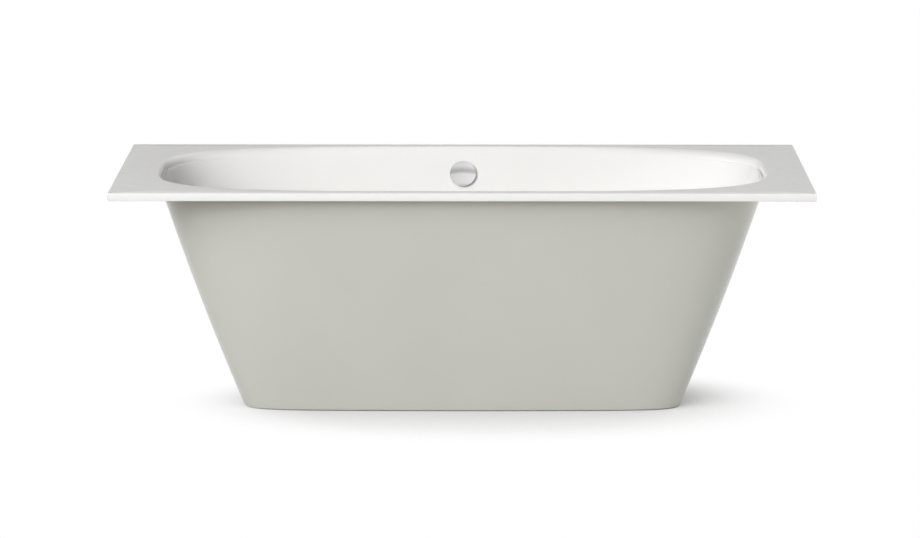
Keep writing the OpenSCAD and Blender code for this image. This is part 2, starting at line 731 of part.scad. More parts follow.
// The way of the pipe in the wall frame, downwards from the housing
module on_pipe_end() {
    translate([0, pipe_y(pipe_end_z), pipe_end_z]) rotate([-pipe_lean, 0, 0]) children();
}
socket_l = 32;
wire_hole_r = 1.2;
module overflow_body() {
    color([0.18, 0.19, 0.2])
    difference() {
        union() {
            at_overflow() {
                translate([0, 0, flange_back]) cylinder(r = gasket_r, h = body_front - flange_back);
                translate([0, 0, housing_back]) cylinder(r = housing_r, h = body_front - housing_back);
                translate([-port_r + 1.5, duct_low - 8, housing_back - 2])
                    cube([2 * port_r - 3, housing_r - duct_low - 8, flange_back - housing_back + 2]);
                along_wire(boss_from) cylinder(r = 4.5, h = boss_to - boss_from);
            }
            on_pipe_end() cylinder(r = port_r, h = socket_l);
        }
        at_overflow() {
            difference() {
                translate([0, 0, housing_back + housing_t])
                    cylinder(r = housing_r - housing_t, h = -housing_back);
                for (y = [-1, 1])
                    translate([0, y * screw_y, housing_back]) cylinder(r = 4.2, h = body_front - housing_back);
                translate([0, 0, body_front - 5]) cylinder(r = spindle_r + 3, h = 5);
                translate([-housing_r, -1.5, body_front - 5]) cube([2 * housing_r, 3, 5]);
            }
            for (y = [-1, 1])
                translate([0, y * screw_y, flange_back - 6]) cylinder(r = small_screw_r + run, h = 20);
            translate([0, 0, housing_back + housing_t]) cylinder(r = spindle_r + run, h = 30);
            translate([-port_r + 4, duct_low - 4, housing_back + 0.5])
                cube([2 * port_r - 8, -duct_low - 12, flange_back - housing_back - 3]);
            along_wire(sheath_from - run) cylinder(r = cable_d / 2 + run, h = boss_to);
            along_wire(boss_from - 2) cylinder(r = wire_hole_r, h = boss_to);
        }
        on_pipe_end() translate([0, 0, -1]) cylinder(r = port_r - pipe_t, h = socket_l - 2);
    }
}

// Overflow pipe and bend with their nuts, the cable and its clips

bend_socket_l = 18;
socket_t = 2.5;
module on_bend_end() {
    translate([0, pipe_y(pipe_turn_z), pipe_turn_z]) rotate([-pipe_lean, 0, 0]) children();
}
module bend_way(r, extra) {
    translate([0, pipe_start + fit - extra, port_z]) rotate([-90, 0, 0])
        cylinder(r = r, h = pipe_turn_y - pipe_start - fit + extra);
    translate([0, pipe_turn_y, port_z + pipe_bend_r]) rotate([0, 90, 0])
        rotate_extrude(angle = 90 - pipe_lean + extra) translate([pipe_bend_r, 0]) circle(r);
}
// A collar over the start of the bend, or the step in its bore
module bend_collar(r, from, to) {
    translate([0, pipe_turn_y - from, port_z]) rotate([-90, 0, 0]) cylinder(r = r, h = from + to);
}
module overflow_bend() {
    color([0.9, 0.9, 0.9])
    difference() {
        union() {
            bend_way(port_r, 0);
            bend_collar(port_r + 1.5, 9, 3);
            on_bend_end() translate([0, 0, -2]) cylinder(r = port_r + socket_t, h = bend_socket_l + 2);
        }
        bend_way(port_r - pipe_t, 1);
        bend_collar(port_r - pipe_t + 0.4, 5, 1.5);
        on_bend_end() cylinder(r = port_r + run, h = bend_socket_l + 1);
    }
}
module overflow_pipe() {
    color([0.9, 0.9, 0.9])
    on_bend_end() translate([0, 0, fit])
        ring(port_r, port_r - pipe_t, (pipe_end_z - pipe_turn_z) / cos(pipe_lean) - 2 * fit);
}

pipe_nut_r = port_r + 4;
module pipe_nut() {
    grip_nut(pipe_nut_r - 0.5, port_r + run, pipe_nut_h, port_r + run, 1, 12);
}
module pipe_nut_top() {
    color([0.2, 0.2, 0.21])
    on_pipe_end() translate([0, 0, -pipe_nut_h / 2]) pipe_nut();
}
module pipe_nut_bottom() {
    color([0.2, 0.2, 0.21])
    translate([0, pipe_start - pipe_nut_h / 2, port_z]) rotate([-90, 0, 0]) pipe_nut();
}

module operating_cable() {
    color([0.13, 0.13, 0.14])
    tube_along(cable_points, cable_d / 2, cable_sides);
}

clip_h = 8;
module cable_clips() {
    color([0.9, 0.9, 0.9])
    for (z = clip_levels)
        translate([0, pipe_y(z), z]) rotate([-pipe_lean, 0, 0])
        difference() {
            union() {
                cylinder(r = pipe_d / 2 + fit + 2, h = clip_h);
                translate([cable_side, 0, 0]) cylinder(r = cable_d / 2 + fit + 1.6, h = clip_h);
            }
            translate([0, 0, -1]) cylinder(r = pipe_d / 2 + fit, h = clip_h + 2);
            translate([cable_side, 0, -1]) cylinder(r = cable_d / 2 + fit, h = clip_h + 2);
        }
}

// Waste: flange, seals, body, plug and lifter

module waste_flange() {
    color([0.8, 0.81, 0.82]) {
        rotate_extrude()
            polygon([[spigot_in_r, spigot_end_z], [spigot_r, spigot_end_z], [spigot_r, drain_z - flange_t],
                [waste_d / 2, drain_z - flange_t], [waste_d / 2, drain_z - 1], [waste_d / 2 - 1, drain_z],
                [seat_r + 0.6, drain_z], [seat_r, drain_z - seat_deep], [spigot_in_r + 0.5, drain_z - seat_deep],
                [spigot_in_r, drain_z - seat_deep - 0.5]]);
        difference() {
            union() {
                translate([0, 0, guide_z]) cylinder(r = stem_r + 4, h = guide_top_z - guide_z);
                for (i = [0:2])
                    rotate([0, 0, 120 * i + 90]) translate([0, -2, guide_z + 2])
                        cube([(spigot_in_r + spigot_r) / 2, 4, guide_top_z - guide_z - 4]);
            }
            translate([0, 0, guide_z - 1]) cylinder(r = stem_r + run, h = guide_top_z - guide_z + 2);
        }
    }
}

module waste_seal_top() {
    color([0.12, 0.12, 0.13])
    translate([0, 0, recess_z]) ring(waste_d / 2 - 1, waste_hole_r + 0.5, seal_top_t);
}
module waste_seal_bottom() {
    color([0.12, 0.12, 0.13])
    translate([0, 0, body_top_z]) ring(body_flange_r - 2, waste_hole_r + 1, seal_low_t);
}

module waste_body() {
    color([0.18, 0.19, 0.2])
    difference() {
        union() {
            rotate_extrude()
                polygon([[0, dip_end_z], [dip_r, dip_end_z], [dip_r, collar_top_z - collar_t],
                    [collar_r, collar_top_z - collar_t], [collar_r, collar_top_z], [body_r, collar_top_z],
                    [body_r, body_top_z - body_flange_t - 6], [body_flange_r, body_top_z - body_flange_t],
                    [body_flange_r, body_top_z], [0, body_top_z]]);
            translate([0, 0, port_z]) rotate([-90, 0, 0]) cylinder(r = port_r, h = pipe_start);
            translate([0, 0, wire_z]) rotate([0, -90, 0]) cylinder(r = 5, h = body_r + 12);
        }
        rotate_extrude()
            polygon([[0, dip_end_z - 1], [dip_r - drain_t, dip_end_z - 1], [dip_r - drain_t, collar_top_z],
                [body_in_r, collar_top_z + 6], [body_in_r, spigot_end_z], [spigot_r + 0.1, spigot_end_z],
                [spigot_r + 0.1, body_top_z + 1], [0, body_top_z + 1]]);
        translate([0, 0, port_z]) rotate([-90, 0, 0]) cylinder(r = port_r - pipe_t, h = pipe_start + 1);
        translate([0, 0, wire_z]) rotate([0, -90, 0]) cylinder(r = wire_hole_r, h = body_r + 20);
        translate([cable_stop + run, 0, wire_z]) rotate([0, -90, 0]) cylinder(r = cable_d / 2 + run, h = 20);
        translate([lifter_x, 0, lifter_z]) rotate([90, 0, 0])
            cylinder(r = pin_r + run, h = pin_l + 2 * run, center = true);
    }
}

pin_r = 2;
pin_l = 2 * sqrt(body_r * body_r - lifter_x * lifter_x) - 3;
module lifter_pin() {
    color([0.75, 0.75, 0.77])
    translate([lifter_x, 0, lifter_z]) rotate([90, 0, 0]) cylinder(r = pin_r, h = pin_l, center = true);
}

lifter_w = 8;
module lifter() {
    color([0.86, 0.86, 0.84])
    translate([lifter_x, lifter_w / 2, lifter_z]) rotate([90, 0, 0]) rotate([0, 0, lifter_swing])
    difference() {
        union() {
            cylinder(r = pin_r + 2.5, h = lifter_w);
            translate([-lifter_arm, -2.5, 0]) cube([lifter_arm, 5, lifter_w]);
            translate([-lifter_arm, 0, 0]) cylinder(r = lifter_tip_r, h = lifter_w);
            translate([-2, -lifter_drop, 0]) cube([4, lifter_drop, lifter_w]);
            translate([0, -lifter_drop, 0]) cylinder(r = 3, h = lifter_w);
        }
        translate([0, 0, -1]) cylinder(r = pin_r + run, h = lifter_w + 2);
        translate([0, -lifter_drop, -1]) cylinder(r = wire_hole_r, h = lifter_w + 2);
    }
}

plug_r = plug_d / 2;
plug_z = drain_z + 0.8;
boss_r = 20;
module plug_cap() {
    color([0.8, 0.81, 0.82])
    difference() {
        union() {
            translate([0, 0, plug_z]) rotate_extrude()
                polygon([[0, 0], [plug_r - 0.6, 0], [plug_r, 0.6], [plug_r, 1.4], [plug_r - 0.8, 2],
                    [plug_r * 0.85, 2.5], [plug_r * 0.6, 3], [plug_r * 0.3, 3.3], [0, 3.4]]);
            translate([0, 0, drain_z - 5]) cylinder(r = boss_r, h = 6);
        }
        translate([0, 0, drain_z - 6]) cylinder(r = stem_r + run, h = 5.3);
    }
}
module plug_stem() {
    color([0.78, 0.68, 0.42])
    translate([0, 0, stem_end_z]) cylinder(r = stem_r, h = drain_z - 0.8 - stem_end_z);
}
module plug_seal() {
    color([0.12, 0.12, 0.13])
    translate([0, 0, drain_z - seat_deep + lap])
        ring(seat_r - 1, boss_r + run, plug_z - drain_z + seat_deep - 2 * lap);
}

// Trap and outlet

module trap_nut() {
    color([0.92, 0.92, 0.92])
    translate([0, 0, collar_top_z + nut_lip_t - nut_h])
        grip_nut(nut_r, nut_in_r, nut_h, body_r + 0.6, nut_lip_t, 18);
}
module trap_seal() {
    color([0.12, 0.12, 0.13])
    translate([0, 0, cup_top_z]) ring(collar_r - 0.5, cup_r - cup_t - 1, trap_seal_t);
}
module trap_cup() {
    color([0.92, 0.92, 0.92])
    difference() {
        union() {
            translate([0, 0, cup_bottom_z]) cylinder(r1 = cup_r - 4, r2 = cup_r, h = 4);
            translate([0, 0, cup_bottom_z + 4]) cylinder(r = cup_r, h = cup_top_z - cup_bottom_z - 4);
            translate([0, 0, cup_top_z - 7]) cylinder(r = cup_mouth_r, h = 7);
            translate([0, 0, outlet_z]) rotate([0, 90, 0]) cylinder(r = drain_r_out, h = stub_end);
        }
        translate([0, 0, cup_bottom_z + cup_t]) cylinder(r = cup_r - cup_t, h = cup_top_z);
        translate([0, 0, outlet_z]) rotate([0, 90, 0]) cylinder(r = drain_r_in, h = stub_end + 1);
    }
}
module outlet_nut() {
    color([0.92, 0.92, 0.92])
    translate([stub_end - 8, 0, outlet_z]) rotate([0, 90, 0])
        grip_nut(drain_r_out + 4, drain_r_out + run, 18, drain_r_out + run, 2, 14);
}
module outlet_way(r, extra) {
    translate([stub_end + fit - extra, 0, outlet_z]) rotate([0, 90, 0])
        cylinder(r = r, h = outlet_x - stub_end - fit + extra);
    translate([outlet_x, 0, outlet_z - outlet_bend_r]) rotate([90, 0, 0])
        rotate_extrude(angle = 90) translate([outlet_bend_r, 0]) circle(r);
    translate([outlet_x + outlet_bend_r, 0, outlet_z - outlet_bend_r - outlet_tail - extra])
        cylinder(r = r, h = outlet_tail + extra);
}
module outlet_elbow() {
    color([0.92, 0.92, 0.92])
    difference() {
        outlet_way(drain_r_out, 0);
        outlet_way(drain_r_in, 1);
    }
}

bath_shell();
outer_skirt();
rim_board_front();
rim_board_back();
rim_board_left();
rim_board_right();
base_board();
leg_rail_left();
leg_rail_right();
rail_screws();
lock_nuts();
foot_bolt_front_left();
foot_bolt_front_right();
foot_bolt_back_left();
foot_bolt_back_right();
foot_pad_front_left();
foot_pad_front_right();
foot_pad_back_left();
foot_pad_back_right();
skirt_brackets();
bracket_screws();
overflow_knob();
knob_spindle();
overflow_faceplate();
overflow_screws();
overflow_gasket();
overflow_body();
overflow_pipe();
overflow_bend();
pipe_nut_top();
pipe_nut_bottom();
operating_cable();
cable_clips();
waste_flange();
waste_seal_top();
waste_seal_bottom();
waste_body();
plug_cap();
plug_stem();
plug_seal();
lifter();
lifter_pin();
trap_nut();
trap_seal();
trap_cup();
outlet_nut();
outlet_elbow();
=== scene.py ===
import json
from math import atan, cos, pi, radians, sin, sqrt, tan

import bmesh
import bpy
from mathutils import Matrix, Vector


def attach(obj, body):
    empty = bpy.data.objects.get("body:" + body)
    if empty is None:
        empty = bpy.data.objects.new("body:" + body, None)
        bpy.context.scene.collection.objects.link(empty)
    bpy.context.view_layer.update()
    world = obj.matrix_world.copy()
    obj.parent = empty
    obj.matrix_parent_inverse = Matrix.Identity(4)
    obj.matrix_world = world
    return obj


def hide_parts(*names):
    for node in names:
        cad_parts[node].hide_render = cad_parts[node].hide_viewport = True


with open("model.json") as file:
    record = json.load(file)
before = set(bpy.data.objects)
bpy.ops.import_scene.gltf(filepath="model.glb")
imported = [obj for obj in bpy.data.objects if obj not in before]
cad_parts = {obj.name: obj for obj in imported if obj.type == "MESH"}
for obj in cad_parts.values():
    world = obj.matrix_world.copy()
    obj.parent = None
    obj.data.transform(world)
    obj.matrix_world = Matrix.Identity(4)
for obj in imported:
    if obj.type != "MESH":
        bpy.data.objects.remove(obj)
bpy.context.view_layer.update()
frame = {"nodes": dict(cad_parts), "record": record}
nodes = frame["nodes"]
print("frame loaded:", len(nodes), "nodes")


# Outlines and meshes. Every outline has the same number of points, so any two can be joined or blended.

outline = {
    "points": 360,       # points round each outline, a multiple of 8
    "cornerBias": 0.6,   # denser towards the corners
    "sharpAngle": 35,    # degrees, edges that bend more stay crisp
}


def outlineDirections():
    turns = []
    for i in range(outline["points"]):
        u = 2 * pi * i / outline["points"]
        turn = u + outline["cornerBias"] / 4 * sin(4 * u)
        turns.append((cos(turn), sin(turn)))
    return turns


directions = outlineDirections()


# Squareness is the exponent: 2 is an ellipse. Bow draws the long sides in towards the ends.
def ovalRing(halfLength, halfWidth, squareness, z, bow=0.0):
    ring = []
    for c, s in directions:
        reach = (abs(c) ** squareness + abs(s) ** squareness) ** (-1 / squareness)
        x = halfLength * reach * c
        y = halfWidth * reach * s * (1 - bow * (x / halfLength) ** 2)
        ring.append(Vector((x, y, z)))
    return ring


def circleRing(radius, z):
    return ovalRing(radius, radius, 2, z)


def rectangleRing(halfLength, halfWidth, z):
    ring = []
    for c, s in directions:
        reach = 1 / max(abs(c), abs(s))
        ring.append(Vector((halfLength * reach * c, halfWidth * reach * s, z)))
    return ring


def ringsBetween(first, last, shares):
    return [[a.lerp(b, share) for a, b in zip(first, last)] for share in shares]


def smoothMesh(mesh, sharpAngle):
    mesh.shade_smooth()
    mesh.set_sharp_from_angle(angle=radians(sharpAngle))


def newPiece(name, vertices, faces, sharpAngle):
    mesh = bpy.data.meshes.new(name)
    mesh.from_pydata(vertices, [], faces)
    mesh.validate()
    work = bmesh.new()
    work.from_mesh(mesh)
    bmesh.ops.recalc_face_normals(work, faces=work.faces)
    work.to_mesh(mesh)
    work.free()
    smoothMesh(mesh, sharpAngle)
    piece = bpy.data.objects.new(name, mesh)
    bpy.context.scene.collection.objects.link(piece)
    return piece


# Rings joined into a closed skin, the last to the first
def loft(name, rings):
    count = len(rings[0])
    vertices = [point for ring in rings for point in ring]
    faces = []
    for j in range(len(rings)):
        low, high = j * count, (j + 1) % len(rings) * count
        for i in range(count):
            q = (i + 1) % count
            faces.append((low + i, low + q, high + q, high + i))
    return newPiece(name, vertices, faces, outline["sharpAngle"])


# A turned piece: the profile runs as (radius, height) from the axis back to the axis
def turned(name, profile, place, segments, sharpAngle):
    vertices, faces, rows = [], [], []
    for radius, height in profile:
        if radius == 0:
            rows.append([len(vertices)] * segments)
            vertices.append(place @ Vector((0, 0, height)))
            continue
        rows.append(list(range(len(vertices), len(vertices) + segments)))
        for i in range(segments):
            turn = 2 * pi * i / segments
            vertices.append(place @ Vector((radius * cos(turn), radius * sin(turn), height)))
    for low, high in zip(rows, rows[1:]):
        for i in range(segments):
            q = (i + 1) % segments
            corners = [low[i], low[q], high[q], high[i]]
            faces.append(tuple(dict.fromkeys(corners)))
    return newPiece(name, vertices, faces, sharpAngle)


def arcPoints(centre, radius, start, end, steps):
    points = []
    for i in range(steps + 1):
        turn = radians(start + (end - start) * i / steps)
        points.append((centre[0] + radius * cos(turn), centre[1] + radius * sin(turn)))
    return points


# Height, at a radius, of a dome that is top high in the middle and side high at its edge
def domeHeight(radius, edge, side, top):
    dome = (edge ** 2 + (top - side) ** 2) / (2 * (top - side))
    return top - dome + sqrt(dome ** 2 - radius ** 2)


def smoothStep(low, high, value):
    part = min(1.0, max(0.0, (value - low) / (high - low)))
    return part * part * (3 - 2 * part)


def cutAway(piece, cutter):
    cut = piece.modifiers.new("cutAway", "BOOLEAN")
    cut.object = cutter
    cut.operation = "DIFFERENCE"
    cut.solver = "EXACT"
    graph = bpy.context.evaluated_depsgraph_get()
    mesh = bpy.data.meshes.new_from_object(piece.evaluated_get(graph))
    piece.modifiers.clear()
    piece.data = mesh
    bpy.data.objects.remove(cutter)
    smoothMesh(mesh, outline["sharpAngle"])


# Nodes of materials: an input is a value or the output that feeds it

def addNode(tree, kind, inputs, **settings):
    node = tree.nodes.new(kind)
    for name, value in settings.items():
        setattr(node, name, value)
    for socket, value in inputs.items():
        if isinstance(value, bpy.types.NodeSocket):
            tree.links.new(value, node.inputs[socket])
        else:
            node.inputs[socket].default_value = value
    return node


def mathNode(tree, operation, first, second=0):
    return addNode(tree, "ShaderNodeMath", {0: first, 1: second}, operation=operation).outputs[0]


def vectorNode(tree, operation, first, second=(0, 0, 0)):
    return addNode(tree, "ShaderNodeVectorMath", {0: first, 1: second}, operation=operation).outputs


def mixNode(tree, factor, first, second):
    return addNode(tree, "ShaderNodeMix", {"Factor": factor, "A": first, "B": second}).outputs["Result"]


def noiseNode(tree, scale, detail):
    place = addNode(tree, "ShaderNodeTexCoord", {}).outputs["Object"]
    noise = addNode(tree, "ShaderNodeTexNoise", {"Vector": place, "Scale": scale, "Detail": detail})
    return noise.outputs["Fac"]


def rampNode(tree, value, stops):
    ramp = addNode(tree, "ShaderNodeValToRGB", {"Fac": value})
    elements = ramp.color_ramp.elements
    while len(elements) < len(stops):
        elements.new(1.0)
    for element, (position, colour) in zip(elements, stops):
        element.position = position
        element.color = (*colour, 1)
    return ramp.outputs["Color"]


# Materials. Noise is given as (scale, detail) and a bump as (scale, detail, strength, depth).

# The noise values that a range of colour or roughness is spread over
noiseReach = {"colour": (0.35, 0.65), "roughness": (0.3, 0.7)}


def newMaterial(name, colour, sockets):
    material = bpy.data.materials.new(name)
    material.use_nodes = True
    shader = material.node_tree.nodes["Principled BSDF"]
    shader.inputs["Base Color"].default_value = (*colour, 1)
    for socket, value in sockets.items():
        shader.inputs[socket].default_value = value
    return material, material.node_tree, shader


def addBump(tree, shader, bump):
    scale, detail, strength, depth = bump
    height = noiseNode(tree, scale, detail)
    node = addNode(tree, "ShaderNodeBump", {"Height": height, "Strength": strength, "Distance": depth})
    tree.links.new(node.outputs["Normal"], shader.inputs["Normal"])


def metal(name, dark, colour, roughness, scale):
    return {"name": name, "colour": colour, "dark": dark, "clouds": (scale, 4),
            "roughness": roughness, "patches": (scale * 2, 2), "bump": (scale * 4, 2, 0.08, 0.0004),
            "sockets": {"Metallic": 1.0}}


def moulding(name, colour, roughness):
    return {"name": name, "colour": colour, "shade": 0.88, "clouds": (30, 3),
            "roughness": roughness, "patches": (150, 2), "bump": (900, 2, 0.12, 0.0002), "sockets": {}}


# Shade is how dark the clouds go, as a share of the colour
finishes = {
    "sanitary_acrylic": {
        "name": "sanitaryAcrylic", "colour": (0.905, 0.898, 0.882), "shade": 0.985, "clouds": (2.5, 2),
        "roughness": (0.16, 0.21), "patches": (40, 2), "bump": (12, 1, 0.02, 0.002),
        "sockets": {"Specular IOR Level": 0.2},
    },
    "skirt_lacquer": {
        "name": "skirtLacquer", "colour": (0.600, 0.603, 0.547), "shade": 0.975, "clouds": (3, 2),
        "roughness": (0.34, 0.42), "patches": (60, 2), "bump": (350, 2, 0.04, 0.0004),
        "sockets": {"Coat Weight": 0.5, "Coat Roughness": 0.12},   # lacquer, which lights up along the edges
    },
    "polished_chrome": {
        "name": "polishedChrome", "colour": (0.80, 0.80, 0.80),
        "roughness": (0.10, 0.15), "patches": (300, 3), "bump": (90, 1, 0.02, 0.0003),
        "sockets": {"Metallic": 1.0},
    },
    "galvanised_steel": metal("galvanisedSheet", (0.50, 0.52, 0.54), (0.66, 0.68, 0.70), (0.38, 0.52), 70),
    "zinc_screws": metal("zincPlate", (0.56, 0.57, 0.59), (0.68, 0.69, 0.71), (0.26, 0.38), 220),
    "brass_metal": metal("turnedBrass", (0.62, 0.48, 0.24), (0.76, 0.61, 0.33), (0.22, 0.34), 180),
    "dark_plastic": moulding("darkMoulding", (0.045, 0.047, 0.052), (0.42, 0.55)),
    "pipe_plastic": moulding("whiteMoulding", (0.78, 0.78, 0.76), (0.34, 0.45)),
    "pad_plastic": moulding("padMoulding", (0.03, 0.03, 0.032), (0.55, 0.7)),
    "cable_sheath": moulding("cableSheath", (0.028, 0.028, 0.03), (0.35, 0.5)),
    "seal_rubber": moulding("sealRubber", (0.018, 0.018, 0.018), (0.7, 0.85)),
}


def makeFinish(look):
    material, tree, shader = newMaterial(look["name"], look["colour"], look["sockets"])
    if "clouds" in look:
        dark = look["dark"] if "dark" in look else [part * look["shade"] for part in look["colour"]]
        low, high = noiseReach["colour"]
        clouds = rampNode(tree, noiseNode(tree, *look["clouds"]), ((low, dark), (high, look["colour"])))
        tree.links.new(clouds, shader.inputs["Base Color"])
    spread = {"Value": noiseNode(tree, *look["patches"])}
    spread["From Min"], spread["From Max"] = noiseReach["roughness"]
    spread["To Min"], spread["To Max"] = look["roughness"]
    patches = addNode(tree, "ShaderNodeMapRange", spread).outputs["Result"]
    tree.links.new(patches, shader.inputs["Roughness"])
    addBump(tree, shader, look["bump"])
    return material


chipboard = {
    "dark": (0.42, 0.30, 0.17), "light": (0.66, 0.52, 0.34), "lightFrom": 0.6,
    "chips": 260, "roughness": 0.75, "bump": (400, 3, 0.25, 0.0006),
}


def makeChipboard():
    sockets = {"Roughness": chipboard["roughness"]}
    material, tree, shader = newMaterial("chipboard", chipboard["light"], sockets)
    place = addNode(tree, "ShaderNodeTexCoord", {}).outputs["Object"]
    chips = addNode(tree, "ShaderNodeTexVoronoi", {"Vector": place, "Scale": chipboard["chips"]})
    grey = addNode(tree, "ShaderNodeRGBToBW", {"Color": chips.outputs["Color"]}).outputs["Val"]
    shades = rampNode(tree, grey, ((0.0, chipboard["dark"]), (chipboard["lightFrom"], chipboard["light"])))
    tree.links.new(shades, shader.inputs["Base Color"])
    addBump(tree, shader, chipboard["bump"])
    return material


materials = {slot: makeFinish(look) for slot, look in finishes.items()}
materials["board_wood"] = makeChipboard()
for part in frame["record"]["subparts"]:
    mesh = nodes[part["node"]].data
    mesh.materials.clear()
    mesh.materials.append(materials[part["material_slot"]])
print("materials made:", len(materials))


def dress(piece, slot, body, *replaced):
    piece.data.materials.append(materials[slot])
    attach(piece, body)
    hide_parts(*replaced)


# Bath shell

bath = {
    "rimLength": 1.8, "rimWidth": 0.8, "rimHeight": 0.595,
    "rimEdge": 0.020,        # height of the rim's visible edge
    "edgeRadius": 0.0012,    # rounding of the rim's outer edges
    "stripEnd": 0.100, "stripSide": 0.036,     # flat rim between the outer edge and the lip
    "openingSquareness": 3.7, "wallSquareness": 3.1, "floorSquareness": 3.2,
    "lipIn": 0.014, "lipDeep": 0.020,
    "lipBend": 0.8,          # how tightly the lip bends over along the long sides
    "rollFrom": 0.74, "rollTo": 0.94,          # where, along the bath, the lip becomes a deep roll
    "ledge": 0.0035, "ledgeRounding": 0.0008,  # fine step where that roll meets the end wall
    "basinDepth": 0.445, "floorFall": 0.004,
    "endLean": 26,           # degrees
    "sideDraw": 0.1085,      # how far each long wall comes in between lip and floor
    "sideStraight": 0.576,   # share of that which is a straight slope
    "coveRadius": 0.085,
    "thickness": 0.005, "floorThickness": 0.007,
    "underFloor": 0.93,      # share of the outer floor's outline that is flat
    "drainRadius": 0.045, "recessRadius": 0.0353, "recessDepth": 0.0045, "wasteHole": 0.026,
    "innerSteps": (16, 40, 12), "outerSteps": (8, 20, 6),      # rings in the cove, the wall and the lip
    "fallSteps": 6, "cornerSteps": 3,
    "rimShares": (0.25, 0.5),                  # where, from lip to edge, the flat rim has a ring of its own
}
overflow = {
    "drop": 0.070,           # centre below the rim top
    "padHeight": 0.076,      # height of the flat pad in the wall
    "hole": 0.026, "holeReach": 0.02, "holeSegments": 96,
    "padInner": 0.040, "padOuter": 0.090,      # where the pad starts and stops blending into the wall
}

rimTop = bath["rimHeight"]
lipZ = rimTop - bath["lipDeep"]
floorZ = rimTop - bath["basinDepth"]
drainZ = floorZ - bath["floorFall"]
underZ = rimTop - bath["rimEdge"]
baseZ = drainZ - bath["floorThickness"]
wallHeight = lipZ - floorZ
lipLength = bath["rimLength"] / 2 - bath["stripEnd"] - bath["lipIn"]
lipWidth = bath["rimWidth"] / 2 - bath["stripSide"] - bath["lipIn"]


def wallPart(z):
    return (z - floorZ) / wallHeight


# Half width of the basin: a straight slope, and a bend that grows with the fourth power of the height
def wallWidth(z):
    straight, part = bath["sideStraight"], max(0.0, wallPart(z))
    return lipWidth - bath["sideDraw"] * (1 - straight * part - (1 - straight) * part ** 4)


# How fast that half width grows with the height
def sideSlope(z):
    straight, part = bath["sideStraight"], max(0.0, wallPart(z))
    return bath["sideDraw"] / wallHeight * (straight + 4 * (1 - straight) * part ** 3)


def wallSquareness(z):
    low, high = bath["floorSquareness"], bath["wallSquareness"]
    return low + (high - low) * max(0.0, wallPart(z))


# Half length and half width of the wall, moved out by the thickness of the skin
def wallSize(z, skin):
    endSlope = tan(radians(bath["endLean"]))
    halfLength = lipLength - endSlope * (lipZ - z) + skin * sqrt(1 + endSlope ** 2)
    return halfLength, wallWidth(z) + skin * sqrt(1 + sideSlope(z) ** 2)


def wallRing(z, skin):
    return ovalRing(*wallSize(z, skin), wallSquareness(z), z)


def coveRing(turn, skin):
    radius = bath["coveRadius"] + skin
    z = floorZ + bath["coveRadius"] - radius * cos(turn)
    inset = radius * (1 - sin(turn))
    halfLength, halfWidth = wallSize(z, skin)
    return ovalRing(halfLength - inset, halfWidth - inset, wallSquareness(z), z)


# The middle of the long sides from one ring and the ends from the other
def blendEnds(sideRing, endRing):
    ring = []
    for side, end in zip(sideRing, endRing):
        share = smoothStep(bath["rollFrom"], bath["rollTo"], abs(end.x) / lipLength)
        ring.append(side.lerp(end, share))
    return ring


# The lip's outline turns from the wall's into the squarer opening. Along the long sides it bends over in
# one tight curve, and at the ends it is a deep roll that stands on a fine ledge.
def lipRing(turn, skin):
    start = max(skin, bath["ledge"])
    reach = bath["lipIn"] - (bath["lipIn"] - start) * cos(turn)
    squareness = bath["openingSquareness"] - (bath["openingSquareness"] - bath["wallSquareness"]) * cos(turn)
    endRing = ovalRing(lipLength + reach, lipWidth + reach, squareness,
                       lipZ + (bath["lipDeep"] - skin) * sin(turn))
    if skin > 0:
        return endRing
    u = 2 * turn / pi
    reach = bath["lipIn"] * (2 * (1 - u) * u * bath["lipBend"] + u * u)
    sideRing = ovalRing(lipLength + reach, lipWidth + reach, squareness,
                        lipZ + bath["lipDeep"] * (2 * u - u * u))
    return blendEnds(sideRing, endRing)


# The ledge at the ends, with both its edges rounded
def ledgeRings():
    soft, ledge = bath["ledgeRounding"], bath["ledge"]
    middle = 0.3 * soft      # where the middle of a rounding lies, from the corner that it rounds
    steps = ((0, -soft), (middle, -middle), (soft, 0), (ledge - soft, 0), (ledge - middle, middle))
    rings = []
    for i, (reach, lift) in enumerate(steps):
        endRing = ovalRing(lipLength + reach, lipWidth + reach, bath["wallSquareness"], lipZ + lift)
        rings.append(blendEnds(wallRing(lipZ - soft * (1 - i / len(steps)), 0), endRing))
    return rings


overflowZ = rimTop - overflow["drop"]
padLow = overflowZ - overflow["padHeight"] / 2
padHigh = overflowZ + overflow["padHeight"] / 2
wallLean = atan((wallWidth(padHigh) - wallWidth(padLow)) / overflow["padHeight"])
overflowY = (wallWidth(padHigh) + wallWidth(padLow)) / 2
overflowPlace = Matrix.Translation((0, overflowY, overflowZ)) @ Matrix.Rotation(pi / 2 - wallLean, 4, "X")


# The wall is flat round the overflow, and the flat pad fades into the curved wall
def flattenPad(rings, skin):
    normal = overflowPlace.to_3x3() @ Vector((0, 0, 1))
    centre = overflowPlace @ Vector((0, 0, -skin))
    for ring in rings:
        for point in ring:
            if point.y < 0:
                continue
            away = (point - centre).length
            share = 1 - smoothStep(overflow["padInner"], overflow["padOuter"], away)
            flatY = centre.y - ((point.x - centre.x) * normal.x + (point.z - centre.z) * normal.z) / normal.y
            point.y += share * (flatY - point.y)
    return rings


# One side of the shell, from the floor's edge to the top of the lip
def skinRings(skin, steps):
    coveSteps, wallSteps, lipSteps = steps
    cove = [coveRing(pi / 2 * i / coveSteps, skin) for i in range(coveSteps)]
    low, high = floorZ + bath["coveRadius"], lipZ
    wall = [wallRing(low + (high - low) * i / wallSteps, skin) for i in range(wallSteps)]
    ledge = ledgeRings() if skin == 0 else []
    lip = [lipRing(pi / 2 * i / lipSteps, skin) for i in range(lipSteps + 1)]
    return flattenPad(cove + wall, skin) + ledge + lip


